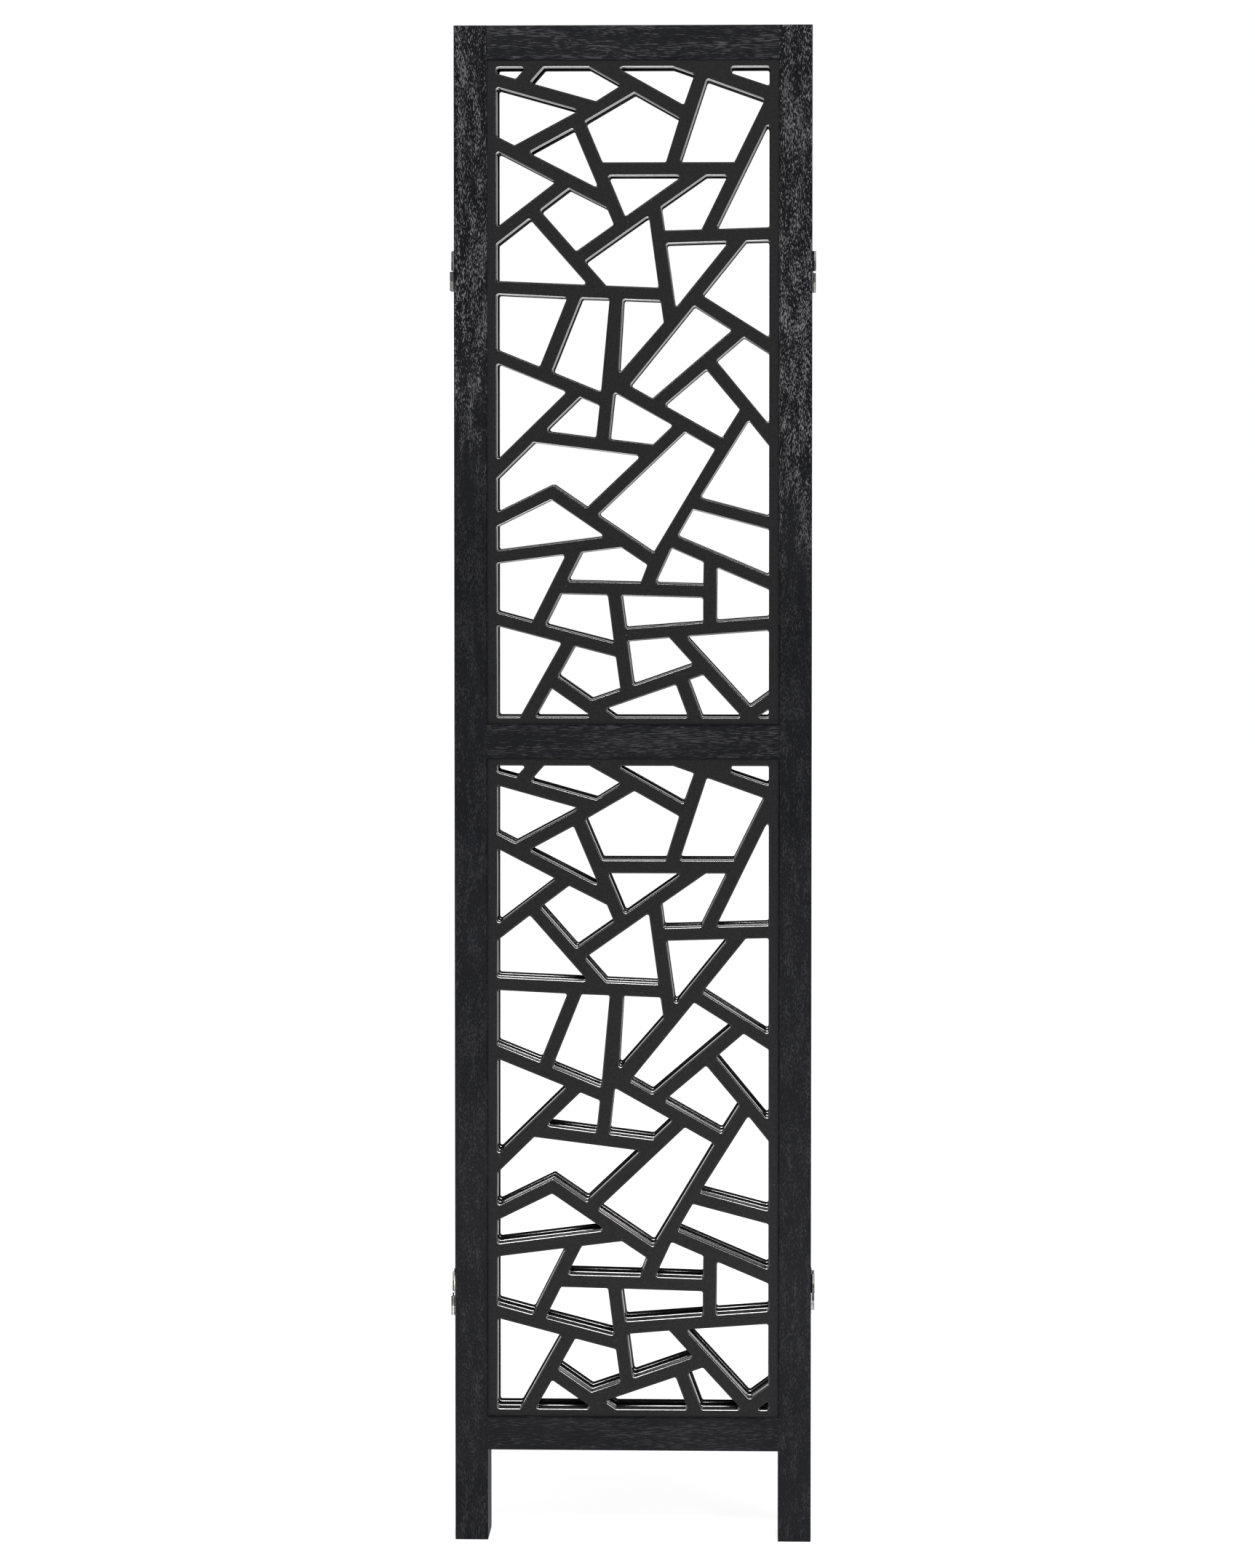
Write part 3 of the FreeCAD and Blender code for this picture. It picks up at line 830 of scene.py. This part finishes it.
# %% [markdown]
# ### The floor
#
# The floor of a studio runs on into its white backdrop. More light would bring it to white, but would
# fall on the screen too. So it glows a little by itself, where only the camera, gloss and glass see
# it: more away from the screen, and less near it, where it has to keep the shadow.

# %% The floor
FLOOR_REACH = 14.0
FLOOR_TONE = 0.86
FLOOR_LIFT = 0.61
FLOOR_LIFT_FAR = 0.76
SHADOW_REACH = 0.9

floor_mesh = bpy.data.meshes.new("floor")
corners = [(x * FLOOR_REACH, y * FLOOR_REACH, 0) for x, y in ((-1, -1), (1, -1), (1, 1), (-1, 1))]
floor_mesh.from_pydata(corners, [], [(0, 1, 2, 3)])
floor = bpy.data.objects.new("floor", floor_mesh)
bpy.context.scene.collection.objects.link(floor)
floor_paint, tree, shader = new_material("floor_paint", Roughness=0.9)
shader.inputs["Base Color"].default_value = (FLOOR_TONE, FLOOR_TONE, FLOOR_TONE, 1.0)
shader.inputs["Specular IOR Level"].default_value = 0.0
shader.inputs["Emission Color"].default_value = (1.0, 1.0, 1.0, 1.0)
away = add(tree, "ShaderNodeVectorMath", {0: object_place(tree)}, operation="LENGTH").outputs["Value"]
lift = remap(tree, away, SHADOW_REACH, 2 * SHADOW_REACH, FLOOR_LIFT, FLOOR_LIFT_FAR)
tree.links.new(product(tree, seen_directly(tree)[1], lift), shader.inputs["Emission Strength"])
floor_mesh.materials.append(floor_paint)
print("floor:", 2 * FLOOR_REACH, "m wide")

# %% [markdown]
# ### Lamps
#
# The flat lacquer shows what lies in its mirror direction, so no lamp stands there. The key is wide and
# hangs high in front, where only arrises and open grain that tip upwards can see it. A tall lamp on the
# right draws the arrises that face it, and a weak one on the left keeps the far side from going dead. A
# low lamp near the floor lifts the legs, and one behind lights the back for other views. A lamp is
# described by its radiance, because that is what a highlight shows.

# %% Set the lamps


def add_lamp(name, place, aim, width, height, radiance):
    """A rectangular lamp of a size and a radiance, turned towards a point."""
    light = bpy.data.lights.new(name, "AREA")
    light.shape = "RECTANGLE"
    light.size, light.size_y = width, height
    light.energy = radiance * math.pi * width * height
    lamp = bpy.data.objects.new(name, light)
    lamp.location = place
    lamp.rotation_euler = (Vector(aim) - Vector(place)).to_track_quat("-Z", "Y").to_euler()
    bpy.context.scene.collection.objects.link(lamp)


add_lamp("key", (-0.2, -2.5, 2.8), (0.0, 0.0, 0.85), 2.2, 0.9, 9.5)
add_lamp("right_strip", (1.7, -2.6, 1.8), (0.0, 0.0, 1.2), 0.5, 1.4, 7.0)
add_lamp("left_fill", (-3.0, -1.6, 1.4), (0.0, 0.0, 0.9), 0.6, 2.0, 0.5)
add_lamp("low_fill", (0.1, -1.0, 0.15), (0.0, 0.0, 0.1), 0.8, 0.25, 7.0)
add_lamp("rear_fill", (1.2, 3.0, 2.6), (0.0, 0.0, 0.9), 2.0, 1.2, 4.0)
print("lamps:", len(bpy.data.lights))

# %% [markdown]
# ## The camera
#
# The picture was taken from a little above chest height, slightly right of the middle, and from far
# enough that the uprights look almost parallel. The lens is found from the distance and from how much
# of the frame's height the screen fills. A small downward shift, as on a view camera, keeps the
# uprights upright, and tilting does the rest.

# %% Set the camera
CAMERA_DISTANCE = 5.0
CAMERA_HEIGHT = 1.22
CAMERA_RIGHT = 0.15
CAMERA_SHIFT = -0.11
FRAME_HEIGHT = 1.7511
YAW = 1.787
PITCH = 1.983
SENSOR = 36.0

front_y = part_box("front_middle_rail")[0].y
view = bpy.data.cameras.new("camera")
view.sensor_width = SENSOR
view.lens = SENSOR * CAMERA_DISTANCE / FRAME_HEIGHT
view.shift_y = CAMERA_SHIFT
camera = bpy.data.objects.new("camera", view)
camera.location = (CAMERA_RIGHT, front_y - CAMERA_DISTANCE, CAMERA_HEIGHT)
camera.rotation_euler = (math.radians(90 - PITCH), 0.0, math.radians(YAW))
bpy.context.scene.collection.objects.link(camera)
bpy.context.scene.camera = camera
bpy.context.scene.view_settings.view_transform = "Standard"
print("lens:", round(view.lens, 1), "mm")
